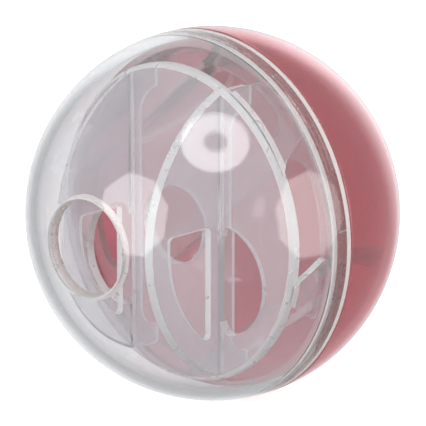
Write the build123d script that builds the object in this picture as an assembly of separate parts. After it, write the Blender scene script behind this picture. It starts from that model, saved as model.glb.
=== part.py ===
from build123d import *
from math import asin, cos, degrees, pi, radians, sin, sqrt
import os

# Treat dispensing ball: two moulded half shells, clear and red, closed by a three-lug twist lock,
# with a clear maze insert in each half.
# Every piece is drawn as it lies in its mould, with the ball's axis upwards (local z).
# place() then lays the ball on its side: the treat hole looks along -Y and local y points up (+Z).
# The origin is the ball's centre, which lies in the plane where the two halves meet. Millimetres.

# ---- ball ----
BALL_R = 37.5            # outside of both half shells
SHELL_WALL = 2.2         # moulded wall of both half shells
MEETING_GAP = 0.1        # between the rims of the closed halves
RIM_ROUND = 0.25         # rounding of the two outer rims at the meeting line

# ---- treat hole, at the pole of the clear half ----
TREAT_HOLE_R = 9.6
TREAT_HOLE_ROUND = 0.5   # rounding of its outer edge

# ---- neck of the red half, inside the skirt of the clear half ----
NECK_HEIGHT = 4.0
NECK_WALL = 1.1
NECK_CLEARANCE = 0.08    # running fit, on the radius
STEP_CLEARANCE = 0.15    # neck end to the step in the clear half
SKIRT_WALL = 1.2         # clear wall outside the neck
NECK_CHAMFER = 0.25

# ---- twist lock ----
LUG_COUNT = 3
LUG_FIRST_ANGLE = 50.0   # middle of the first lug, about the axis
LUG_SPAN = 18.0          # degrees
LUG_PROUD = 0.5          # out of the neck
LUG_LOW = 1.5            # above the meeting plane
LUG_THICK = 1.1
LUG_TAPER = 0.45         # how much thinner the leading end is
CHANNEL_CLEARANCE = 0.12
TWIST = 35.0             # degrees from locked to free
STOP_CLEARANCE = 0.6     # degrees beyond the lug at each end of its channel

# ---- maze inserts ----
SEAT_CLEARANCE = 0.3     # insert to the inside of its half shell
SHEET = 1.6              # moulded thickness of ledges and walls

# ---- front maze, in the clear half ----
LEDGE_TOP = 13.6         # above the meeting plane
WALL_FACE = 13.9         # outer faces of the two walls, from the axis
FOOT_HALF_WIDTH = 29.3   # walls below the ledge
FOOT_CLEARANCE = 0.3     # feet to the rear plate
FOOT_ROUND = 1.5
WINDOW_TOP = 2.6         # straight upper edge shared by all four side windows
WALL_WINDOW_SILL = 3.2   # lower edge of a wall window above the ledge
WALL_WINDOW_R = 27.3     # curved edge, about the ball's centre
WALL_WINDOW_ROUND = 1.2
LEDGE_WINDOW_MARGIN = 2.1  # straight edge of a ledge window to the wall
LEDGE_WINDOW_R = 26.8
LEDGE_WINDOW_CORNER = 8.0  # large rounding at the outer upper corner
LEDGE_WINDOW_ROUND = 3.2   # rounding at the lower end
DROP_HOLE_R = 9.2          # round hole between the walls

# ---- rear maze, in the red half ----
REAR_TURN = 40.0         # its walls are turned about the axis from the front ones
COLLAR_WALL = 1.2
COLLAR_CLEARANCE = 0.1   # collar to the bore of the neck
COLLAR_DROP = 0.1        # collar below the neck end
PLATE_TOP = 2.6          # above the meeting plane
PLATE_BAR = 5.2          # width of the bar across the middle of the plate
REAR_WALL_FACE = 24.6    # outer faces of the rear walls, from the axis
PLATE_RIM = 3.0          # plate left between its windows and the collar
PLATE_WINDOW_ROUND = 4.0
REAR_WINDOW_R = 17.0     # arched window in each rear wall
REAR_WINDOW_SILL = 5.0   # below the plate
REAR_WINDOW_ROUND = 1.5

# ---- worked out from the sizes above ----
INNER_R = BALL_R - SHELL_WALL
INSERT_R = INNER_R - SEAT_CLEARANCE
SKIRT_BORE_R = BALL_R - SKIRT_WALL
NECK_R = SKIRT_BORE_R - NECK_CLEARANCE
NECK_BORE_R = NECK_R - NECK_WALL
STEP_Z = NECK_HEIGHT + STEP_CLEARANCE
COLLAR_R = NECK_BORE_R - COLLAR_CLEARANCE
COLLAR_BORE_R = COLLAR_R - COLLAR_WALL
FOOT_Z = PLATE_TOP + FOOT_CLEARANCE
REACH = 2 * BALL_R       # longer than anything in the ball


def place(piece):
    """Lay a piece that was drawn axis up on its side, hole towards -Y."""
    return Rot(90, 0, 0) * piece


def height_on(radius, out):
    """Height at which a sphere of this radius is this far out from the axis."""
    return sqrt(radius**2 - out**2)


def arc_on(radius, start, end):
    """Arc about the centre in the half plane through the axis, between two angles above the rim."""
    middle = (start + end) / 2
    return ThreePointArc(*[(radius * cos(a), radius * sin(a)) for a in (start, middle, end)])


def rounded_at(face, corner, radius):
    """Round the corner of a flat face that lies nearest to a point."""
    return fillet(face.vertices().sort_by_distance(corner)[0], radius)


def turned(face):
    """Solid of revolution about the ball's axis from an (out, up) half section."""
    return revolve(Plane.XZ * face, Axis.Z, 360)


def ring_sector(inner, outer, low, high, start, span):
    """Piece of a ring between two angles about the axis, in degrees."""
    section = Plane.XZ * Pos((inner + outer) / 2, (low + high) / 2) * Rectangle(outer - inner, high - low)
    return Rot(0, 0, start) * revolve(section, Axis.Z, span)


def lug(centre):
    """One lock lug: a curved bar on the neck, its underside rising towards the leading end."""
    start = centre - LUG_SPAN / 2
    bar = ring_sector(NECK_R - NECK_WALL / 2, NECK_R + LUG_PROUD, LUG_LOW, LUG_LOW + LUG_THICK,
                      start, LUG_SPAN)
    length = NECK_R * radians(LUG_SPAN)
    slope = degrees(asin(LUG_TAPER / length))
    under = Rot(0, 0, start) * Pos(NECK_R, 0, LUG_LOW) * Rot(slope, 0, 0)
    return bar - under * Pos(0, length / 2, -LUG_THICK / 2) * Box(NECK_R, 2 * length, LUG_THICK)


def lock_channel(centre):
    """L-shaped channel for one lug: the way in from the rim, and the run round to the locked place."""
    reach = LUG_SPAN / 2 + STOP_CLEARANCE
    low, high = LUG_LOW - CHANNEL_CLEARANCE, LUG_LOW + LUG_THICK + CHANNEL_CLEARANCE
    deep = NECK_R + LUG_PROUD + CHANNEL_CLEARANCE
    bite = SKIRT_BORE_R - SKIRT_WALL / 2
    way_in = ring_sector(bite, deep, -NECK_HEIGHT, high, centre - TWIST - reach, 2 * reach)
    run = ring_sector(bite, deep, low, high, centre - TWIST - reach, TWIST + 2 * reach)
    return way_in + run


def lock_angles():
    return [LUG_FIRST_ANGLE + k * 360 / LUG_COUNT for k in range(LUG_COUNT)]


def clear_shell():
    """Front half: a hemisphere with the treat hole at its pole and a thin skirt round the red neck."""
    hole_angle = pi / 2 - asin(TREAT_HOLE_R / BALL_R)
    hole_angle_in = pi / 2 - asin(TREAT_HOLE_R / INNER_R)
    rim_angle = asin(MEETING_GAP / BALL_R)
    step_angle = asin(STEP_Z / INNER_R)
    outside = arc_on(BALL_R, rim_angle, hole_angle)
    inside = arc_on(INNER_R, hole_angle_in, step_angle)
    outline = [
        outside,
        Line(outside @ 1, inside @ 0),
        inside,
        Polyline(inside @ 1, (SKIRT_BORE_R, STEP_Z), (SKIRT_BORE_R, MEETING_GAP), outside @ 0),
    ]
    section = make_face(Curve() + outline)
    section = rounded_at(section, outside @ 1, TREAT_HOLE_ROUND)
    section = rounded_at(section, outside @ 0, RIM_ROUND)
    shell = turned(section)
    for angle in lock_angles():
        shell -= lock_channel(angle)
    return shell


def red_shell():
    """Rear half: a plain hemisphere with the neck that carries the lock lugs."""
    outside = arc_on(BALL_R, 0, -pi / 2)
    inside = arc_on(INNER_R, -pi / 2, 0)
    outline = [
        outside,
        Line(outside @ 1, inside @ 0),
        inside,
        Polyline(inside @ 1, (NECK_BORE_R, 0), (NECK_BORE_R, NECK_HEIGHT),
                 (NECK_R - NECK_CHAMFER, NECK_HEIGHT), (NECK_R, NECK_HEIGHT - NECK_CHAMFER),
                 (NECK_R, 0), outside @ 0),
    ]
    shell = turned(rounded_at(make_face(Curve() + outline), outside @ 0, RIM_ROUND))
    for angle in lock_angles():
        shell += lug(angle)
    return shell


def insert_space():
    """Sphere that a maze insert may fill inside its half shell."""
    return Sphere(INSERT_R)


def front_maze():
    """Ledge across the clear half, two walls up to the dome, and their feet on the rear plate."""
    ledge_r = height_on(INSERT_R, LEDGE_TOP)
    ledge = Pos(0, 0, LEDGE_TOP - SHEET / 2) * Cylinder(ledge_r, SHEET)
    ledge -= Cylinder(DROP_HOLE_R, REACH)
    inner_face = WALL_FACE - SHEET
    for side in (1, -1):
        middle = side * (WALL_FACE + inner_face) / 2
        upper = Pos(middle, 0, LEDGE_TOP - SHEET + REACH / 2) * Box(SHEET, REACH, REACH)
        upper = upper & insert_space()
        foot_face = Pos(0, (LEDGE_TOP - SHEET / 2 + FOOT_Z) / 2) * Rectangle(
            2 * FOOT_HALF_WIDTH, LEDGE_TOP - SHEET / 2 - FOOT_Z)
        foot_face = fillet(foot_face.vertices().group_by(Axis.Y)[0], FOOT_ROUND)
        foot = extrude(Plane.YZ.offset(middle - SHEET / 2) * foot_face, SHEET)
        ledge += upper + foot
        ledge -= wall_window(middle)
        ledge -= ledge_window(side)
    return ledge


def wall_window(middle):
    """Quarter window in a wall: straight top, straight sill above the ledge, edge round the centre."""
    sill = LEDGE_TOP + WALL_WINDOW_SILL
    space = Circle(WALL_WINDOW_R)
    space &= Pos(WINDOW_TOP - REACH / 2, sill + REACH / 2) * Rectangle(REACH, REACH)
    space = fillet(space.vertices(), WALL_WINDOW_ROUND)
    return extrude(Plane.YZ.offset(middle - SHEET) * space, 2 * SHEET)


def ledge_window(side):
    """D-shaped window in the ledge, outside a wall."""
    straight = WALL_FACE + LEDGE_WINDOW_MARGIN
    space = Circle(LEDGE_WINDOW_R)
    space &= Pos(straight + REACH / 2, WINDOW_TOP - REACH / 2) * Rectangle(REACH, REACH)
    outer_top = space.vertices().sort_by(Axis.X)[-1]
    space = fillet(outer_top, LEDGE_WINDOW_CORNER)
    lower_end = space.vertices().sort_by(Axis.Y)[0]
    space = fillet(lower_end, LEDGE_WINDOW_ROUND)
    window = extrude(Pos(0, 0, LEDGE_TOP - 2 * SHEET) * space, 3 * SHEET)
    return window if side > 0 else mirror(window, Plane.YZ)


def rear_maze():
    """Collar inside the neck, plate with two windows and a bar, and two walls down to the red dome."""
    collar_top = NECK_HEIGHT - COLLAR_DROP
    plate_low = PLATE_TOP - SHEET
    disc = Pos(0, 0, (collar_top + plate_low) / 2) * Cylinder(COLLAR_R, collar_top - plate_low)
    disc -= Pos(0, 0, PLATE_TOP + REACH / 2) * Cylinder(COLLAR_BORE_R, REACH)
    inner_face = REAR_WALL_FACE - SHEET
    maze = disc
    for side in (1, -1):
        maze -= plate_window(side, inner_face)
        middle = side * (REAR_WALL_FACE + inner_face) / 2
        wall = Pos(0, middle, plate_low + SHEET / 2 - REACH / 2) * Box(REACH, SHEET, REACH)
        wall = wall & insert_space()
        maze += wall
        maze -= rear_wall_window(middle)
    return Rot(0, 0, REAR_TURN) * maze


def plate_window(side, inner_face):
    """Window of the plate between its bar and a rear wall."""
    low, high = PLATE_BAR / 2, inner_face
    space = Circle(COLLAR_BORE_R - PLATE_RIM)
    space &= Pos(0, (low + high) / 2) * Rectangle(REACH, high - low)
    space = fillet(space.vertices(), PLATE_WINDOW_ROUND)
    window = extrude(Pos(0, 0, PLATE_TOP - 2 * SHEET) * space, 3 * SHEET)
    return window if side > 0 else mirror(window, Plane.XZ)


def rear_wall_window(middle):
    """Arched window in a rear wall."""
    sill = PLATE_TOP - SHEET - REAR_WINDOW_SILL
    space = Circle(REAR_WINDOW_R) & Pos(0, sill - REACH / 2) * Rectangle(REACH, REACH)
    space = fillet(space.vertices(), REAR_WINDOW_ROUND)
    return extrude(Plane.XZ.offset(-middle - SHEET) * space, 2 * SHEET)


pieces = {
    "clear_shell": clear_shell,
    "red_shell": red_shell,
    "front_maze": front_maze,
    "rear_maze": rear_maze,
}

os.makedirs("parts", exist_ok=True)
for name, make in pieces.items():
    export_step(place(make()), f"parts/{name}.step")
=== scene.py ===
from math import asin, cos, pi, radians, sin, sqrt, tan

import bmesh
import bpy
import numpy as np
from mathutils import Matrix, Vector


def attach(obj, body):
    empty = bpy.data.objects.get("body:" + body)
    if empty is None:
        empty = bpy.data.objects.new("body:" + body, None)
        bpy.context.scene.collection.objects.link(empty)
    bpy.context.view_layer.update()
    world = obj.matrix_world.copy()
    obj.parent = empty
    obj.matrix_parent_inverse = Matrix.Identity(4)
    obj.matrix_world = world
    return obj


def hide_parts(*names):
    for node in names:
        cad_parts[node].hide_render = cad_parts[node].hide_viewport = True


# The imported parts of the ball. Lengths are in metres and MM turns millimetres into them. The treat
# hole looks along -Y and +Z is up. A height is a distance from the meeting plane of the two halves
# towards the hole, so it is -Y.
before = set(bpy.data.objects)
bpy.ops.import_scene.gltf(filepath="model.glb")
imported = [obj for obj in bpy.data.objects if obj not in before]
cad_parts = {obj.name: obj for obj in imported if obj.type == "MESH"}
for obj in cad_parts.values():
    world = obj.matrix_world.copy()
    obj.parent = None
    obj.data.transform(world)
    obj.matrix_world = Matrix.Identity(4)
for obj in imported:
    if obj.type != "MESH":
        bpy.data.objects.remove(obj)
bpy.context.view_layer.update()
scene = bpy.context.scene
MM = 0.001

# ---- camera ----
# A long lens 15 degrees above the ball, turned 43 degrees from the treat hole towards +X. Its
# shift puts the ball in the middle of the picture.
BALL_R = 37.5 * MM
CAMERA_TURN = radians(43.45)
CAMERA_RISE = radians(15.2)
CAMERA_DISTANCE = 29 * BALL_R
FOCAL_LENGTH = 459.5
LENS_SHIFT = (0.001, 0.0006)
CLIP_END = 10
GLASS_BOUNCES = 24
SHADOW_BOUNCES = 16
to_camera = Vector((sin(CAMERA_TURN) * cos(CAMERA_RISE), -cos(CAMERA_TURN) * cos(CAMERA_RISE),
                    sin(CAMERA_RISE)))
camera_right = Vector((cos(CAMERA_TURN), sin(CAMERA_TURN), 0))
camera_up = to_camera.cross(camera_right)

lens = bpy.data.cameras.new("camera")
lens.lens = FOCAL_LENGTH
lens.sensor_width = 36
lens.shift_x, lens.shift_y = LENS_SHIFT
lens.clip_end = CLIP_END
camera = bpy.data.objects.new("camera", lens)
scene.collection.objects.link(camera)
facing = Matrix((camera_right, camera_up, to_camera)).transposed().to_4x4()
camera.matrix_world = Matrix.Translation(to_camera * CAMERA_DISTANCE) @ facing
scene.camera = camera

scene.view_settings.view_transform = "Standard"
scene.cycles.max_bounces = GLASS_BOUNCES
scene.cycles.transmission_bounces = GLASS_BOUNCES
scene.cycles.transparent_max_bounces = SHADOW_BOUNCES

# ---- photo tent ----
# A white tent: a grey card straight behind the ball, bright cloth round the card and dimmer cloth at
# the sides, under and over the ball. The camera sees plain white, and the plastic sees the tent.
TENT_LEVELS = {"Dim": 0.50, "Behind": 1.0, "Card": 0.60}
TENT_TINT = (0.97, 0.98, 1.0)
# The bright cloth fades between these shares of a unit direction, to the side, below and above,
# and behind. The card fades out between these distances from its own middle direction.
FADE_SIDE = (0.20, 0.50)
FADE_BELOW = (-0.45, -0.15)
FADE_ABOVE = (0.45, 0.75)
FADE_BEHIND = (0.0, 0.3)
FADE_CARD = (0.08, 0.22)
CARD_SIDE, CARD_UP = 0.08, 0.07
card_middle = (camera_right * CARD_SIDE + camera_up * CARD_UP - to_camera).normalized()


def tent_group():
    """Light level of the tent in a direction: the card's in its middle, bright round the card and dim
    everywhere else."""
    group = bpy.data.node_groups.new("tent_cloth", "ShaderNodeTree")
    group.interface.new_socket("Direction", in_out="INPUT", socket_type="NodeSocketVector")
    for name in TENT_LEVELS:
        group.interface.new_socket(name, in_out="INPUT", socket_type="NodeSocketFloat")
    group.interface.new_socket("Level", in_out="OUTPUT", socket_type="NodeSocketFloat")
    start = group.nodes.new("NodeGroupInput")
    end = group.nodes.new("NodeGroupOutput")
    unit = group.nodes.new("ShaderNodeVectorMath")
    unit.operation = "NORMALIZE"
    group.links.new(start.outputs["Direction"], unit.inputs[0])

    def along(axis):
        """Share of the direction that runs along an axis."""
        node = group.nodes.new("ShaderNodeVectorMath")
        node.operation = "DOT_PRODUCT"
        node.inputs[1].default_value = axis
        group.links.new(unit.outputs[0], node.inputs[0])
        return node.outputs["Value"]

    def soft_step(source, low, high, first=0.0, last=1.0):
        """Smooth change of a value from first at low to last at high."""
        node = group.nodes.new("ShaderNodeMapRange")
        node.interpolation_type = "SMOOTHSTEP"
        node.inputs["From Min"].default_value = low
        node.inputs["From Max"].default_value = high
        node.inputs["To Min"].default_value = first
        node.inputs["To Max"].default_value = last
        group.links.new(source, node.inputs["Value"])
        return node.outputs["Result"]

    def combine(operation, *values):
        """One value from one or two by a named operation."""
        node = group.nodes.new("ShaderNodeMath")
        node.operation = operation
        for value, socket in zip(values, node.inputs):
            group.links.new(value, socket)
        return node.outputs[0]

    across = soft_step(combine("ABSOLUTE", along(camera_right)), *FADE_SIDE, 1.0, 0.0)
    over_floor = soft_step(along(camera_up), *FADE_BELOW)
    under_roof = soft_step(along(camera_up), *FADE_ABOVE, 1.0, 0.0)
    upright = combine("MULTIPLY", over_floor, under_roof)
    behind = soft_step(along(-to_camera), *FADE_BEHIND)
    bright = combine("MULTIPLY", combine("MULTIPLY", across, upright), behind)
    off_card = group.nodes.new("ShaderNodeVectorMath")
    off_card.operation = "DISTANCE"
    off_card.inputs[1].default_value = card_middle
    group.links.new(unit.outputs[0], off_card.inputs[0])
    beyond_card = soft_step(off_card.outputs["Value"], *FADE_CARD)
    level = group.nodes.new("ShaderNodeMapRange")
    card = group.nodes.new("ShaderNodeMapRange")
    group.links.new(beyond_card, card.inputs["Value"])
    group.links.new(start.outputs["Card"], card.inputs["To Min"])
    group.links.new(start.outputs["Behind"], card.inputs["To Max"])
    group.links.new(card.outputs["Result"], level.inputs["To Max"])
    group.links.new(bright, level.inputs["Value"])
    group.links.new(start.outputs["Dim"], level.inputs["To Min"])
    group.links.new(level.outputs["Result"], end.inputs["Level"])
    return group


tent_cloth = tent_group()
world = bpy.data.worlds.new("tent")
scene.world = world
world.use_nodes = True
tree = world.node_tree
tree.nodes.clear()
direction = tree.nodes.new("ShaderNodeTexCoord")
cloth = tree.nodes.new("ShaderNodeGroup")
cloth.node_tree = tent_cloth
for name, amount in TENT_LEVELS.items():
    cloth.inputs[name].default_value = amount
tent_light = tree.nodes.new("ShaderNodeBackground")
white = tree.nodes.new("ShaderNodeBackground")
light_path = tree.nodes.new("ShaderNodeLightPath")
pick = tree.nodes.new("ShaderNodeMixShader")
result = tree.nodes.new("ShaderNodeOutputWorld")
tent_light.inputs["Color"].default_value = (*TENT_TINT, 1)
white.inputs["Color"].default_value = (1, 1, 1, 1)
tree.links.new(direction.outputs["Generated"], cloth.inputs["Direction"])
tree.links.new(cloth.outputs["Level"], tent_light.inputs["Strength"])
tree.links.new(light_path.outputs["Is Camera Ray"], pick.inputs["Fac"])
tree.links.new(tent_light.outputs[0], pick.inputs[1])
tree.links.new(white.outputs[0], pick.inputs[2])
tree.links.new(pick.outputs[0], result.inputs["Surface"])

# ---- lamps ----
# An eight-sided softbox at each side, a round dish above the camera with a shaded middle, and
# behind the ball on the right a faint round softbox that only the ball's rim reflects. The left
# and the rear one aren't seen through the plastic.
LAMP_DISTANCE = 0.9
SHADE_FROM, SHADE_TO = 0.20, 0.42


def lamp(name, turn, rise, spread, radiance, colour=(1, 1, 1), sides=0, middle=1.0, full=0.88):
    """Square area lamp, masked by its own u and v to an octagon (8 sides) or a disc (0 sides). turn,
    rise and spread are in degrees from the camera's direction. middle is the level of the lamp's
    centre, full the share of its half width where it starts to fade out."""
    turn, rise, spread = radians(turn), radians(rise), radians(spread)
    aside = camera_right * sin(turn) * cos(rise) + camera_up * sin(rise)
    aim = aside + to_camera * cos(turn) * cos(rise)
    half = LAMP_DISTANCE * tan(spread / 2)
    data = bpy.data.lights.new(name, "AREA")
    data.shape = "SQUARE"
    data.size = 2 * half
    data.energy = radiance * pi * (2 * half) ** 2
    data.color = colour
    data.use_nodes = True
    nodes, links = data.node_tree.nodes, data.node_tree.links
    place = nodes.new("ShaderNodeNewGeometry")
    centred = nodes.new("ShaderNodeVectorMath")
    centred.operation = "MULTIPLY_ADD"
    centred.inputs[1].default_value = (2, 2, 0)
    centred.inputs[2].default_value = (-1, -1, 0)
    links.new(place.outputs["Parametric"], centred.inputs[0])
    far = nodes.new("ShaderNodeVectorMath")
    far.operation = "LENGTH"
    links.new(centred.outputs[0], far.inputs[0])
    reach = far.outputs["Value"]
    if sides == 8:
        size = nodes.new("ShaderNodeVectorMath")
        size.operation = "ABSOLUTE"
        links.new(centred.outputs[0], size.inputs[0])
        reaches = []
        for axis in ((1, 0, 0), (0, 1, 0), (sqrt(0.5), sqrt(0.5), 0)):
            dot = nodes.new("ShaderNodeVectorMath")
            dot.operation = "DOT_PRODUCT"
            dot.inputs[1].default_value = axis
            links.new(size.outputs[0], dot.inputs[0])
            reaches.append(dot.outputs["Value"])
        for other in reaches[1:]:
            most = nodes.new("ShaderNodeMath")
            most.operation = "MAXIMUM"
            links.new(reaches[0], most.inputs[0])
            links.new(other, most.inputs[1])
            reaches[0] = most.outputs[0]
        reach = reaches[0]
    edge = nodes.new("ShaderNodeMapRange")
    edge.interpolation_type = "SMOOTHSTEP"
    edge.inputs["From Min"].default_value = full
    edge.inputs["From Max"].default_value = 1.0
    edge.inputs["To Min"].default_value = 1.0
    edge.inputs["To Max"].default_value = 0.0
    core = nodes.new("ShaderNodeMapRange")
    core.interpolation_type = "SMOOTHSTEP"
    core.inputs["From Min"].default_value = SHADE_FROM
    core.inputs["From Max"].default_value = SHADE_TO
    core.inputs["To Min"].default_value = middle
    core.inputs["To Max"].default_value = 1.0
    both = nodes.new("ShaderNodeMath")
    both.operation = "MULTIPLY"
    links.new(reach, edge.inputs["Value"])
    links.new(far.outputs["Value"], core.inputs["Value"])
    links.new(edge.outputs["Result"], both.inputs[0])
    links.new(core.outputs["Result"], both.inputs[1])
    links.new(both.outputs[0], nodes["Emission"].inputs["Strength"])
    holder = bpy.data.objects.new(name, data)
    scene.collection.objects.link(holder)
    facing = aim.to_track_quat("Z", "Y").to_matrix().to_4x4()
    holder.matrix_world = Matrix.Translation(aim * LAMP_DISTANCE) @ facing
    holder.visible_camera = False
    return holder


left_softbox = lamp("left_softbox", turn=-49.2, rise=-1, spread=46, radiance=4.2, sides=8)
lamp("right_softbox", turn=61.5, rise=-1, spread=46, radiance=2.1, colour=(1, 0.95, 0.92), sides=8)
lamp("top_dish", turn=2, rise=44, spread=41, radiance=3.6, middle=0.1, full=0.85)
rim_softbox = lamp("rim_softbox", turn=156, rise=19, spread=60, radiance=0.9,
                   colour=(0.97, 0.97, 1.0), full=0.1)
for softbox in (left_softbox, rim_softbox):
    softbox.visible_transmission = False

# ---- table top ----
# White card under the ball. The camera sees it as white with the ball's faint shadow, because it
# also glows a little. The plastic doesn't see it, and sees the tent there.
TABLE_HALF = 3.0
TABLE_LIFT = 0.72
TABLE_WHITE = (0.8, 0.8, 0.8, 1)
table_mesh = bpy.data.meshes.new("table")
table_mesh.from_pydata([(-TABLE_HALF, -TABLE_HALF, -BALL_R), (TABLE_HALF, -TABLE_HALF, -BALL_R),
                        (TABLE_HALF, TABLE_HALF, -BALL_R), (-TABLE_HALF, TABLE_HALF, -BALL_R)],
                       [], [(0, 1, 2, 3)])
table = bpy.data.objects.new("table", table_mesh)
scene.collection.objects.link(table)
white_card = bpy.data.materials.new("white_card")
white_card.use_nodes = True
nodes, links = white_card.node_tree.nodes, white_card.node_tree.links
card_face = nodes["Principled BSDF"]
card_face.inputs["Base Color"].default_value = TABLE_WHITE
card_face.inputs["Roughness"].default_value = 0.9
lift = nodes.new("ShaderNodeEmission")
lift.inputs["Strength"].default_value = TABLE_LIFT
lifted = nodes.new("ShaderNodeAddShader")
light_path = nodes.new("ShaderNodeLightPath")
pick = nodes.new("ShaderNodeMixShader")
links.new(card_face.outputs[0], lifted.inputs[0])
links.new(lift.outputs[0], lifted.inputs[1])
links.new(light_path.outputs["Is Camera Ray"], pick.inputs["Fac"])
links.new(card_face.outputs[0], pick.inputs[1])
links.new(lifted.outputs[0], pick.inputs[2])
links.new(pick.outputs[0], nodes["Material Output"].inputs["Surface"])
table_mesh.materials.append(white_card)
table.visible_glossy = False
table.visible_transmission = False

# ---- clear front shell ----
# Half ball of polished clear plastic, injection moulded, with the treat hole at its pole and a thin
# skirt that twists onto the red neck. Its rim and its step are matt and milky. The hole's edge is
# matt and milky too, and its pinkish tint is painted light: the red glow that the shell wall pipes
# to it.
SHELL_WALL = 2.2 * MM
MEETING_GAP = 0.1 * MM
RIM_ROUND = 0.25 * MM
RIM_STRIP = 0.65 * MM
HOLE_R = 9.6 * MM
HOLE_ROUND = 0.5 * MM
SKIRT_BORE_R = 36.3 * MM
STEP_HEIGHT = 4.15 * MM
CHANNEL_R = 36.84 * MM
CHANNEL_LOW = 1.38 * MM
CHANNEL_HIGH = 2.72 * MM
INNER_R = BALL_R - SHELL_WALL
# Degrees about the ball's axis: the lugs' middles, their span, the twist of the lock and the play
# at each end of a channel.
LUG_ANGLES = (50, 170, 290)
LUG_SPAN = 18
TWIST = 35
STOP = 0.6
# Steps round a surface of revolution, the bend that stays a sharp edge, the distance over which
# its points merge, the height of a channel's end, and how near counts as touching.
ROUND_STEPS = 480
SHARP_ANGLE = radians(32)
SEAM = 1e-7
HAIR = 0.02 * MM
TOUCH = 0.01 * MM
PLASTIC_IOR = 1.58
WAVE_SCALE = 60
FLOW_SCALE = 220
FLOW_SHARE = 0.05


def mould_group():
    """Marks that moulding leaves in plastic. Height is a slow waviness with fine flow lines on it, and
    Haze is the flow lines alone."""
    group = bpy.data.node_groups.new("mould_marks", "ShaderNodeTree")
    for name in ("Wave Scale", "Flow Scale"):
        group.interface.new_socket(name, in_out="INPUT", socket_type="NodeSocketFloat")
    for name in ("Height", "Haze"):
        group.interface.new_socket(name, in_out="OUTPUT", socket_type="NodeSocketFloat")
    start = group.nodes.new("NodeGroupInput")
    end = group.nodes.new("NodeGroupOutput")
    place = group.nodes.new("ShaderNodeTexCoord")
    waves = group.nodes.new("ShaderNodeTexNoise")
    waves.inputs["Detail"].default_value = 1.0
    flow = group.nodes.new("ShaderNodeTexNoise")
    flow.inputs["Detail"].default_value = 3.0
    flow.inputs["Distortion"].default_value = 1.5
    mix = group.nodes.new("ShaderNodeMath")
    mix.operation = "MULTIPLY_ADD"
    mix.inputs[1].default_value = FLOW_SHARE
    group.links.new(place.outputs["Object"], waves.inputs["Vector"])
    group.links.new(place.outputs["Object"], flow.inputs["Vector"])
    group.links.new(start.outputs["Wave Scale"], waves.inputs["Scale"])
    group.links.new(start.outputs["Flow Scale"], flow.inputs["Scale"])
    group.links.new(flow.outputs["Fac"], mix.inputs[0])
    group.links.new(waves.outputs["Fac"], mix.inputs[2])
    group.links.new(mix.outputs[0], end.inputs["Height"])
    group.links.new(flow.outputs["Fac"], end.inputs["Haze"])
    return group


mould_marks = mould_group()


def clear_plastic(name, dark, light, transmission, rough, bump, shadow):
    """See-through moulded plastic. Its tint goes from dark to light with the haze of the mould marks,
    and its roughness between the two values of rough. bump is the depth of the marks. Lamps shine
    through it as through a sheet of the shadow colour."""
    material = bpy.data.materials.new(name)
    material.use_nodes = True
    nodes, links = material.node_tree.nodes, material.node_tree.links
    face = nodes["Principled BSDF"]
    face.inputs["IOR"].default_value = PLASTIC_IOR
    face.inputs["Transmission Weight"].default_value = transmission
    marks = nodes.new("ShaderNodeGroup")
    marks.node_tree = mould_marks
    marks.inputs["Wave Scale"].default_value = WAVE_SCALE
    marks.inputs["Flow Scale"].default_value = FLOW_SCALE
    tint = nodes.new("ShaderNodeMix")
    tint.data_type = "RGBA"
    tint.inputs["A"].default_value = (*dark, 1)
    tint.inputs["B"].default_value = (*light, 1)
    links.new(marks.outputs["Haze"], tint.inputs["Factor"])
    links.new(tint.outputs["Result"], face.inputs["Base Color"])
    roughness = nodes.new("ShaderNodeMapRange")
    roughness.inputs["To Min"].default_value = rough[0]
    roughness.inputs["To Max"].default_value = rough[1]
    links.new(marks.outputs["Haze"], roughness.inputs["Value"])
    links.new(roughness.outputs["Result"], face.inputs["Roughness"])
    relief = nodes.new("ShaderNodeBump")
    relief.inputs["Strength"].default_value = 1.0
    relief.inputs["Distance"].default_value = bump
    links.new(marks.outputs["Height"], relief.inputs["Height"])
    links.new(relief.outputs["Normal"], face.inputs["Normal"])
    through = nodes.new("ShaderNodeBsdfTransparent")
    through.inputs["Color"].default_value = (*shadow, 1)
    light_path = nodes.new("ShaderNodeLightPath")
    pick = nodes.new("ShaderNodeMixShader")
    links.new(light_path.outputs["Is Shadow Ray"], pick.inputs["Fac"])
    links.new(face.outputs[0], pick.inputs[1])
    links.new(through.outputs[0], pick.inputs[2])
    links.new(pick.outputs[0], nodes["Material Output"].inputs["Surface"])
    return material


def arc(radius, start, end, count, centre=(0, 0)):
    """(out, height) points of an arc: out = radius cos t, height = radius sin t, t from start to end."""
    t = np.linspace(start, end, count)
    return np.stack([centre[0] + radius * np.cos(t), centre[1] + radius * np.sin(t)], 1)


def line(start, end, count):
    """(out, height) points evenly spaced on a straight line."""
    return np.linspace(start, end, count)


def object_of(name, mesh):
    """An object of the scene that holds a mesh."""
    piece = bpy.data.objects.new(name, mesh)
    scene.collection.objects.link(piece)
    return piece


def cleaned(mesh, weld=0, bend=0):
    """Turns a mesh's faces outwards, after points nearer than weld have merged and faces that bend less
    than bend have joined."""
    shape = bmesh.new()
    shape.from_mesh(mesh)
    if weld:
        bmesh.ops.remove_doubles(shape, verts=shape.verts, dist=weld)
    if bend:
        bmesh.ops.dissolve_limit(shape, angle_limit=bend, verts=shape.verts, edges=shape.edges)
    bmesh.ops.recalc_face_normals(shape, faces=shape.faces)
    shape.to_mesh(mesh)
    shape.free()


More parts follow.
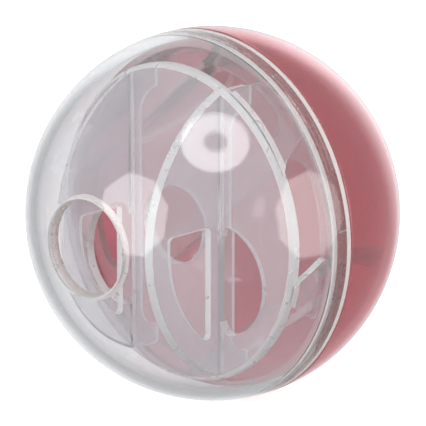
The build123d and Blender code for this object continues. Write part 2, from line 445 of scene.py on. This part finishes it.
def turned_shell(name, stretches, slots, relief, closed):
    """Surface of revolution about the ball's axis. The profile's (out, height) points run through all
    stretches, and slots gives each stretch its material's number. Point (out, height) at angle a lies
    at (r cos a, -height, r sin a), where r = out + relief(out, height, a). closed joins the last
    point to the first."""
    profile = np.concatenate(stretches)
    slot = np.concatenate([np.full(len(s), k) for s, k in zip(stretches, slots)])
    angle = np.linspace(0, 2 * pi, ROUND_STEPS, endpoint=False)
    out, high = profile[:, :1], profile[:, 1:]
    radius = out + relief(out, high, angle[None, :])
    points = np.stack([radius * np.cos(angle), -high + 0 * radius, radius * np.sin(angle)], 2)
    rows, columns = radius.shape
    number = np.arange(rows * columns).reshape(rows, columns)
    if closed:
        number = np.concatenate([number, number[:1]])
    number = np.concatenate([number, number[:, :1]], 1)
    quads = np.stack([number[:-1, :-1], number[1:, :-1], number[1:, 1:], number[:-1, 1:]], 2)
    mesh = bpy.data.meshes.new(name)
    mesh.from_pydata(points.reshape(-1, 3).tolist(), [], quads.reshape(-1, 4).tolist())
    mesh.polygons.foreach_set("material_index", np.repeat(slot[:len(quads)], columns).astype(np.int32))
    cleaned(mesh, weld=SEAM)
    mesh.polygons.foreach_set("use_smooth", np.ones(len(mesh.polygons), bool))
    mesh.set_sharp_from_angle(angle=SHARP_ANGLE)
    return object_of(name, mesh)


def off_lug(angle, centre):
    """Degrees from a lug's middle, for an angle in radians, between -180 and 180."""
    return (np.degrees(angle) - centre + 180) % 360 - 180


def channel_relief(out, high, angle):
    """How far the lug channels are cut into the skirt's bore: L-shaped, a way in and a run."""
    reach = LUG_SPAN / 2 + STOP
    cut = np.zeros(np.broadcast(out, angle).shape, bool)
    for centre in LUG_ANGLES:
        away = off_lug(angle, centre)
        way_in = (np.abs(away + TWIST) <= reach) & (high <= CHANNEL_HIGH)
        run = (away >= -TWIST - reach) & (away <= reach) & (high >= CHANNEL_LOW) & (high <= CHANNEL_HIGH)
        cut |= way_in | run
    bore = np.abs(out - SKIRT_BORE_R) < TOUCH
    return np.where(cut & bore, CHANNEL_R - SKIRT_BORE_R, 0.0)


# The outer profile runs from the rim over the dome to the hole, and the inner one from the hole's
# inner edge to the step and down the skirt's bore.
hole_angle_in = pi / 2 - asin(HOLE_R / INNER_R)
step_angle = asin(STEP_HEIGHT / INNER_R)
round_out = HOLE_R + HOLE_ROUND
round_centre = (round_out, sqrt((BALL_R - HOLE_ROUND) ** 2 - round_out ** 2))
round_start = asin(round_centre[1] / (BALL_R - HOLE_ROUND))
rim_centre = (sqrt((BALL_R - RIM_ROUND) ** 2 - (MEETING_GAP + RIM_ROUND) ** 2), MEETING_GAP + RIM_ROUND)
rim_end = asin(rim_centre[1] / (BALL_R - RIM_ROUND))
bore_heights = np.array([MEETING_GAP, CHANNEL_LOW - HAIR, CHANNEL_LOW, 2.0 * MM, CHANNEL_HIGH,
                         CHANNEL_HIGH + HAIR, 3.4 * MM, STEP_HEIGHT])
shell_stretches = [
    arc(RIM_ROUND, -pi / 2, rim_end, 5, rim_centre),
    arc(BALL_R, rim_end, RIM_STRIP / BALL_R, 3)[1:],
    arc(BALL_R, RIM_STRIP / BALL_R, round_start, 70)[1:],
    arc(HOLE_ROUND, round_start, pi, 8, round_centre)[1:],
    line((HOLE_R, round_centre[1]), (HOLE_R, INNER_R * sin(hole_angle_in)), 4)[1:],
    arc(INNER_R, hole_angle_in, step_angle, 60)[1:],
    line((INNER_R * cos(step_angle), STEP_HEIGHT), (SKIRT_BORE_R, STEP_HEIGHT), 4)[1:],
    np.stack([np.full(8, SKIRT_BORE_R), bore_heights], 1)[::-1][1:],
]
POLISH, EDGE, HOLE, STEP = range(4)
shell_slots = [EDGE, EDGE, POLISH, HOLE, HOLE, POLISH, STEP, POLISH]

clear_polish = clear_plastic("clear_polish", dark=(0.94, 0.945, 0.955), light=(0.97, 0.972, 0.98),
                             transmission=0.97, rough=(0.0, 0.01),
                             bump=0.004 * MM, shadow=(0.9, 0.9, 0.9))
milky_edge = clear_plastic("milky_edge", dark=(0.90, 0.885, 0.86), light=(0.96, 0.95, 0.93),
                           transmission=0.35, rough=(0.3, 0.5),
                           bump=0.008 * MM, shadow=(0.85, 0.85, 0.85))
step_edge = clear_plastic("step_edge", dark=(0.86, 0.84, 0.83), light=(0.93, 0.92, 0.90),
                          transmission=0.30, rough=(0.4, 0.6),
                          bump=0.008 * MM, shadow=(0.85, 0.85, 0.85))
# The hole's edge: matt, milky and tinted pink. The pink is painted light, the red glow piped to it through
# the shell wall.
hole_edge_painted_glow = clear_plastic("hole_edge_painted_glow", dark=(0.84, 0.79, 0.77), light=(0.92, 0.89, 0.87),
                          transmission=0.6, rough=(0.2, 0.4),
                          bump=0.008 * MM, shadow=(0.85, 0.85, 0.85))
clear_half = turned_shell("clear_half", shell_stretches, shell_slots, channel_relief, True)
for plastic in (clear_polish, milky_edge, hole_edge_painted_glow, step_edge):
    clear_half.data.materials.append(plastic)
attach(clear_half, "front_half")
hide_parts("clear_shell")

# ---- red rear shell ----
# Half ball of red tinted see-through plastic, moulded in one piece with the neck that the clear
# half's skirt goes over. Three lugs on the neck run in the skirt's channels and hold the halves.
NECK_R = 36.22 * MM
NECK_BORE_R = 35.12 * MM
NECK_HEIGHT = 4.0 * MM
NECK_CHAMFER = 0.25 * MM
LUG_PROUD = 0.5 * MM
LUG_LOW = 1.5 * MM
LUG_HIGH = 2.6 * MM
LUG_TAPER = 0.45 * MM


def lug_relief(out, high, angle):
    """How far the lugs stand out of the neck: a bar of LUG_SPAN whose lower edge rises towards its end."""
    proud = np.zeros(np.broadcast(out, angle).shape, bool)
    for centre in LUG_ANGLES:
        along = off_lug(angle, centre) / LUG_SPAN + 0.5
        proud |= (along >= 0) & (along <= 1) & (high >= LUG_LOW + LUG_TAPER * along) & (high <= LUG_HIGH)
    neck = np.abs(out - NECK_R) < TOUCH
    return np.where(proud & neck, LUG_PROUD, 0.0)


red_rim_centre = (sqrt((BALL_R - RIM_ROUND) ** 2 - RIM_ROUND ** 2), -RIM_ROUND)
red_rim_start = asin(red_rim_centre[1] / (BALL_R - RIM_ROUND))
neck_heights = np.concatenate([[0.0, 0.7 * MM, 1.4 * MM], np.linspace(LUG_LOW, LUG_HIGH, 12),
                               [LUG_HIGH + HAIR, 3.2 * MM, NECK_HEIGHT - NECK_CHAMFER]])
red_stretches = [
    arc(BALL_R, -pi / 2, red_rim_start, 80),
    arc(RIM_ROUND, red_rim_start, pi / 2, 5, red_rim_centre)[1:],
    np.stack([np.full(len(neck_heights), NECK_R), neck_heights], 1),
    line((NECK_R - NECK_CHAMFER, NECK_HEIGHT), (NECK_BORE_R, NECK_HEIGHT), 3),
    line((NECK_BORE_R, NECK_HEIGHT), (NECK_BORE_R, 0), 4)[1:],
    arc(INNER_R, 0, -pi / 2, 80),
]
DOME, INSIDE, NECK = range(3)
red_slots = [DOME, DOME, NECK, NECK, NECK, INSIDE]
red_polish = clear_plastic("red_polish", dark=(0.82, 0.27, 0.30), light=(0.92, 0.34, 0.37),
                           transmission=0.76, rough=(0.01, 0.05),
                           bump=0.004 * MM, shadow=(0.85, 0.72, 0.72))
red_inside = clear_plastic("red_inside", dark=(0.36, 0.13, 0.17), light=(0.46, 0.18, 0.22),
                           transmission=0.97, rough=(0.02, 0.06),
                           bump=0.004 * MM, shadow=(0.85, 0.72, 0.72))
# The neck is the same red plastic as the dome, coloured much darker and browner: painted shade where it
# sits inside the clear skirt.
red_neck_painted_shade = clear_plastic("red_neck_painted_shade", dark=(0.30, 0.05, 0.06), light=(0.40, 0.08, 0.09),
                         transmission=0.45, rough=(0.2, 0.35),
                         bump=0.008 * MM, shadow=(0.7, 0.55, 0.55))
red_half = turned_shell("red_half", red_stretches, red_slots, lug_relief, False)
for plastic in (red_polish, red_inside, red_neck_painted_shade):
    red_half.data.materials.append(plastic)
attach(red_half, "rear_half")
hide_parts("red_shell")

# ---- front maze ----
# One clear moulding that turns with the clear half: a ledge with a drop hole and two windows, two
# walls with a window each above it and two feet each below it, and four short curved legs. Its
# sheet faces are slightly hazy and its edges milky.
LEDGE_LOW = 9.5 * MM
LEDGE_TOP = 11.5 * MM
LEDGE_R = 31.78 * MM
LEDGE_ROUND = 1.2 * MM
DROP_HOLE_R = 8.0 * MM
WALL_IN = 11.45 * MM
WALL_OUT = 12.95 * MM
WALL_R = 32.9 * MM
WINDOW_TOP = 2.3 * MM
WALL_WINDOW_SILL = 14.15 * MM
WALL_WINDOW_R = 25.5 * MM
WALL_WINDOW_ROUND = 1.0 * MM
LEDGE_WINDOW_R = 11.1 * MM
LEDGE_WINDOW_ROUND = 2.22 * MM
FOOT_LOW = 2.9 * MM
FOOT_HALF_WIDTH = 28.63 * MM
FOOT_LENGTH = 4.1 * MM
FOOT_ROUND = 1.0 * MM
ARCH_R = 4.5 * MM
LEG_R = 33.8 * MM
LEG_WALL = 1.2 * MM
LEG_ROUND = 1.2 * MM
LEG_BAND = (0.04, 0.5)
# How far joined solids overlap and cutters reach past a face.
PAST = 1 * MM
# Points nearer than this merge, and faces that bend less than this join into one.
WELD = 2e-6
FLAT_BEND = radians(0.3)
# Corners of a leg: degrees about the axis, and height as a share of the leg from foot to ledge.
BROAD_LEG = ((28, 1), (32.5, 0.76), (38.5, 0), (62, 0), (62, 1))
NARROW_LEG = ((-19, 1), (-27, 0), (-1.5, 0), (-12, 1))


def prism(near, far, axis):
    """Closed prism between two outlines of equal count, each given with its depth. axis lays the rows
    (outline a, outline b, depth) out in the scene."""
    (near_points, near_depth), (far_points, far_depth) = near, far
    count = len(near_points)
    flat = np.concatenate([np.column_stack([near_points, np.full(count, near_depth)]),
                           np.column_stack([far_points, np.full(count, far_depth)])])
    turn = np.arange(count)
    after = (turn + 1) % count
    sides = np.stack([turn, after, after + count, turn + count], 1).tolist()
    mesh = bpy.data.meshes.new("prism")
    mesh.from_pydata(axis(flat).tolist(), [], [turn[::-1].tolist(), (turn + count).tolist()] + sides)
    cleaned(mesh)
    return object_of("prism", mesh)


def upright(points):
    """Outline in (Z, height), depth along X."""
    return np.stack([points[:, 2], -points[:, 1], points[:, 0]], 1)


def level(points):
    """Outline in (X, Z), depth along the height."""
    return np.stack([points[:, 0], -points[:, 2], points[:, 1]], 1)


def combined(base, steps):
    """The base after boolean steps of (operation, piece); the used pieces are removed."""
    for operation, piece in steps:
        modifier = base.modifiers.new(operation, "BOOLEAN")
        modifier.operation = operation
        modifier.solver = "EXACT"
        modifier.object = piece
    bpy.context.view_layer.update()
    mesh = bpy.data.meshes.new_from_object(base.evaluated_get(bpy.context.evaluated_depsgraph_get()))
    base.modifiers.clear()
    base.data = mesh
    for operation, piece in steps:
        bpy.data.objects.remove(piece)
    return base


def wall_outline(depth):
    """Wall above the ledge, at a depth from the axis along X, its edge on the sphere of WALL_R."""
    radius = sqrt(WALL_R ** 2 - depth ** 2)
    start = asin((LEDGE_TOP - PAST) / radius)
    return arc(radius, start, pi - start, 120)


def foot_outline():
    """Wall below the ledge: two feet joined by a long arch."""
    width, inner = FOOT_HALF_WIDTH, FOOT_HALF_WIDTH - FOOT_LENGTH - ARCH_R
    top = LEDGE_TOP - PAST
    corner = (width - FOOT_ROUND, FOOT_LOW + FOOT_ROUND)
    half = np.concatenate([arc(ARCH_R, pi / 2, 0, 16, (inner, FOOT_LOW)),
                           arc(FOOT_ROUND, -pi / 2, 0, 8, corner), [(width, top)]])
    return np.concatenate([half, half[::-1] * (-1, 1)])


def wall_window_outline():
    """Quarter window: straight end and sill, curved edge about the ball's centre, corners rounded."""
    r, inner = WALL_WINDOW_ROUND, WALL_WINDOW_R - WALL_WINDOW_ROUND
    top, sill = WINDOW_TOP - r, WALL_WINDOW_SILL + r
    upper = (top, sqrt(inner ** 2 - top ** 2))
    lower = (-sqrt(inner ** 2 - sill ** 2), sill)
    from_turn, to_turn = np.arctan2(upper[1], upper[0]), np.arctan2(lower[1], lower[0])
    return np.concatenate([arc(r, -pi / 2, 0, 8, (top, sill)), arc(r, 0, from_turn, 8, upper),
                           arc(WALL_WINDOW_R, from_turn, to_turn, 60)[1:-1],
                           arc(r, to_turn, 1.5 * pi, 8, lower)])


def ledge_window_outline():
    """Half round window of the ledge, its straight side flush with a wall."""
    r, inner = LEDGE_WINDOW_ROUND, LEDGE_WINDOW_R - LEDGE_WINDOW_ROUND
    middle = WINDOW_TOP - LEDGE_WINDOW_R
    rise = sqrt(inner ** 2 - r ** 2)
    turn = np.arctan2(rise, r)
    return np.concatenate([arc(r, pi, turn, 12, (WALL_OUT + r, middle + rise)),
                           arc(LEDGE_WINDOW_R, turn, -turn, 60, (WALL_OUT, middle))[1:-1],
                           arc(r, -turn, -pi, 12, (WALL_OUT + r, middle - rise))])


def rounded(points, radius):
    """A polygon with its lowest corners rounded."""
    low = points[:, 1].min()
    result = []
    for before, here, after in zip(np.roll(points, 1, 0), points, np.roll(points, -1, 0)):
        if here[1] > low + TOUCH:
            result.append(here)
            continue
        back, on = before - here, after - here
        back, on = back / np.linalg.norm(back), on / np.linalg.norm(on)
        half = np.arccos(np.clip(back @ on, -1, 1)) / 2
        middle = here + (back + on) / np.linalg.norm(back + on) * radius / sin(half)
        start, end = here + back * radius / tan(half) - middle, here + on * radius / tan(half) - middle
        for share in np.linspace(0, 1, 8):
            way = start * (1 - share) + end * share
            result.append(middle + way / np.linalg.norm(way) * radius)
    return np.array(result)


def no_relief(out, high, angle):
    """Plain surface of revolution."""
    return 0 * out * angle


def leg(corners, turn):
    """A leg: its flat outline pressed through a thin sphere, then turned about the ball's axis."""
    degrees, shares = np.array(corners).T
    angles = np.radians(degrees)
    middle = (angles.max() + angles.min()) / 2
    rise = LEDGE_TOP - PAST - FOOT_LOW
    flat = [(LEG_R * sin(angle - middle), FOOT_LOW + share * rise)
            for angle, share in zip(angles, shares)]
    outline = rounded(np.array(flat), LEG_ROUND)
    outside, inside = arc(LEG_R, *LEG_BAND, 20), arc(LEG_R - LEG_WALL, *LEG_BAND[::-1], 20)
    skirt = turned_shell("leg", [outside, inside], [0, 0], no_relief, True)
    cutter = prism((outline, LEG_R / 2), (outline, 2 * LEG_R), upright)
    cutter.data.transform(Matrix.Rotation(-(middle + turn), 4, "Y"))
    return combined(skirt, [("INTERSECT", cutter)])


def front_moulding():
    """The whole front insert, made of its ledge, walls and legs."""
    section = [line((DROP_HOLE_R, LEDGE_LOW), (LEDGE_R, LEDGE_LOW), 2),
               arc(LEDGE_ROUND, 0, pi / 2, 8, (LEDGE_R - LEDGE_ROUND, LEDGE_TOP - LEDGE_ROUND)),
               np.array([(DROP_HOLE_R, LEDGE_TOP)])]
    ledge = turned_shell("front_moulding", section, [0, 0, 0], no_relief, True)
    steps = []
    window, foot = ledge_window_outline(), foot_outline()
    opening = wall_window_outline()
    low, high = LEDGE_LOW - PAST, LEDGE_TOP + PAST
    for side in (1, -1):
        steps.append(("DIFFERENCE", prism((window * (side, 1), low), (window * (side, 1), high), level)))
    for side in (1, -1):
        steps.append(("UNION", prism((wall_outline(WALL_IN), side * WALL_IN),
                                     (wall_outline(WALL_OUT), side * WALL_OUT), upright)))
        steps.append(("UNION", prism((foot, side * WALL_IN), (foot, side * WALL_OUT), upright)))
        steps.append(("DIFFERENCE", prism((opening, side * (WALL_IN - PAST)),
                                          (opening, side * (WALL_OUT + PAST)), upright)))
    for turn in (0, pi):
        for corners in (BROAD_LEG, NARROW_LEG):
            steps.append(("UNION", leg(corners, turn)))
    return combined(ledge, steps)


def finish_moulding(piece, finish_of, finishes):
    """Merged mesh, smooth over gentle bends, its faces in several finishes. finish_of(centre, normal,
    reach) gives each face's finish by number; reach is the greatest height of the face's corners."""
    mesh = piece.data
    mesh.materials.clear()
    cleaned(mesh, WELD, FLAT_BEND)
    for finish in finishes:
        mesh.materials.append(finish)
    count = len(mesh.polygons)
    centre, normal = np.empty(3 * count), np.empty(3 * count)
    mesh.polygons.foreach_get("center", centre)
    mesh.polygons.foreach_get("normal", normal)
    corner, first = np.empty(len(mesh.loops), np.int32), np.empty(count, np.int32)
    mesh.loops.foreach_get("vertex_index", corner)
    mesh.polygons.foreach_get("loop_start", first)
    point = np.empty(3 * len(mesh.vertices))
    mesh.vertices.foreach_get("co", point)
    reach = np.maximum.reduceat(-point.reshape(-1, 3)[corner, 1], first)
    number = finish_of(centre.reshape(-1, 3), normal.reshape(-1, 3), reach)
    mesh.polygons.foreach_set("material_index", number.astype(np.int32))
    mesh.polygons.foreach_set("use_smooth", np.ones(count, bool))
    mesh.set_sharp_from_angle(angle=SHARP_ANGLE)
    return piece


SHEET_FACE, EDGE_FACE, LEG_FACE = range(3)
# Cosines from which a face counts as looking along its sheet's own direction.
WALL_FACING = 0.999
LEDGE_FACING = 0.99
LEG_FACING = 0.97


def front_finish(centre, normal, reach):
    """Sheet faces are the walls' (they look along X) and the ledge's (along Y, at its two heights). Leg
    faces look out of the ball and end below the ledge. All others are edges."""
    away = np.linalg.norm(centre, axis=1)
    outward = np.abs((centre * normal).sum(1)) / away
    wall = np.abs(normal[:, 0]) > WALL_FACING
    middle = (LEDGE_LOW + LEDGE_TOP) / 2
    near = (LEDGE_TOP - LEDGE_LOW) / 2 + 0.1 * MM
    ledge = (np.abs(normal[:, 1]) > LEDGE_FACING) & (np.abs(centre[:, 1] + middle) < near)
    skin = LEG_R - LEG_WALL - 0.2 * MM
    leg_face = (outward > LEG_FACING) & (reach < LEDGE_LOW + 0.05 * MM) & (away > skin)
    return np.where(leg_face, LEG_FACE, np.where(wall | ledge, SHEET_FACE, EDGE_FACE))


maze_sheet = clear_plastic("maze_sheet", dark=(0.80, 0.80, 0.83), light=(0.88, 0.875, 0.90),
                           transmission=0.83, rough=(0.03, 0.10),
                           bump=0.01 * MM, shadow=(0.85, 0.85, 0.85))
maze_edge = clear_plastic("maze_edge", dark=(0.84, 0.84, 0.84), light=(0.92, 0.93, 0.92),
                          transmission=0.5, rough=(0.2, 0.4),
                          bump=0.008 * MM, shadow=(0.85, 0.85, 0.85))
maze_leg = clear_plastic("maze_leg", dark=(0.90, 0.90, 0.91), light=(0.96, 0.96, 0.965),
                         transmission=0.96, rough=(0.0, 0.04),
                         bump=0.01 * MM, shadow=(0.9, 0.9, 0.9))
front_insert = finish_moulding(front_moulding(), front_finish, (maze_sheet, maze_edge, maze_leg))
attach(front_insert, "front_insert")
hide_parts("front_maze")

# ---- rear maze ----
# One clear moulding that sits in the red half: a collar inside the neck, a plate with two windows
# and a bar, and two walls down to the red dome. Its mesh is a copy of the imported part's, merged.
REAR_TURN = radians(40)
PLATE_TOP = 2.6 * MM
COLLAR_R = 33.7 * MM
# Cosine from which a plate or wall face counts as looking along its own direction, and up to which
# a collar face counts as looking away from the axis.
PLATE_FACING = 0.98
COLLAR_FACING = 0.1


def rear_finish(centre, normal, reach):
    """Sheet faces are the plate's (they look along Y), the walls' (along Z turned by REAR_TURN either
    way) and the collar's (away from the axis). All others are edges."""
    out = np.hypot(centre[:, 0], centre[:, 2])
    plate = (np.abs(normal[:, 1]) > PLATE_FACING) & (centre[:, 1] > -PLATE_TOP - 0.1 * MM)
    across = np.abs(normal[:, 0] * sin(REAR_TURN)) + np.abs(normal[:, 2] * cos(REAR_TURN))
    wall = (across > PLATE_FACING) & (centre[:, 1] > 0)
    collar = (out > COLLAR_R) & (np.abs(normal[:, 1]) < COLLAR_FACING)
    return np.where(plate | wall | collar, SHEET_FACE, EDGE_FACE)


rear_sheet = clear_plastic("rear_sheet", dark=(0.93, 0.93, 0.94), light=(0.97, 0.97, 0.975),
                           transmission=0.97, rough=(0.0, 0.03),
                           bump=0.01 * MM, shadow=(0.9, 0.9, 0.9))
rear_edge = clear_plastic("rear_edge", dark=(0.88, 0.87, 0.86), light=(0.95, 0.94, 0.93),
                          transmission=0.82, rough=(0.15, 0.3),
                          bump=0.008 * MM, shadow=(0.9, 0.9, 0.9))
rear_moulding = object_of("rear_moulding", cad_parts["rear_maze"].data.copy())
rear_insert = finish_moulding(rear_moulding, rear_finish, (rear_sheet, rear_edge))
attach(rear_insert, "rear_half")
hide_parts("rear_maze")
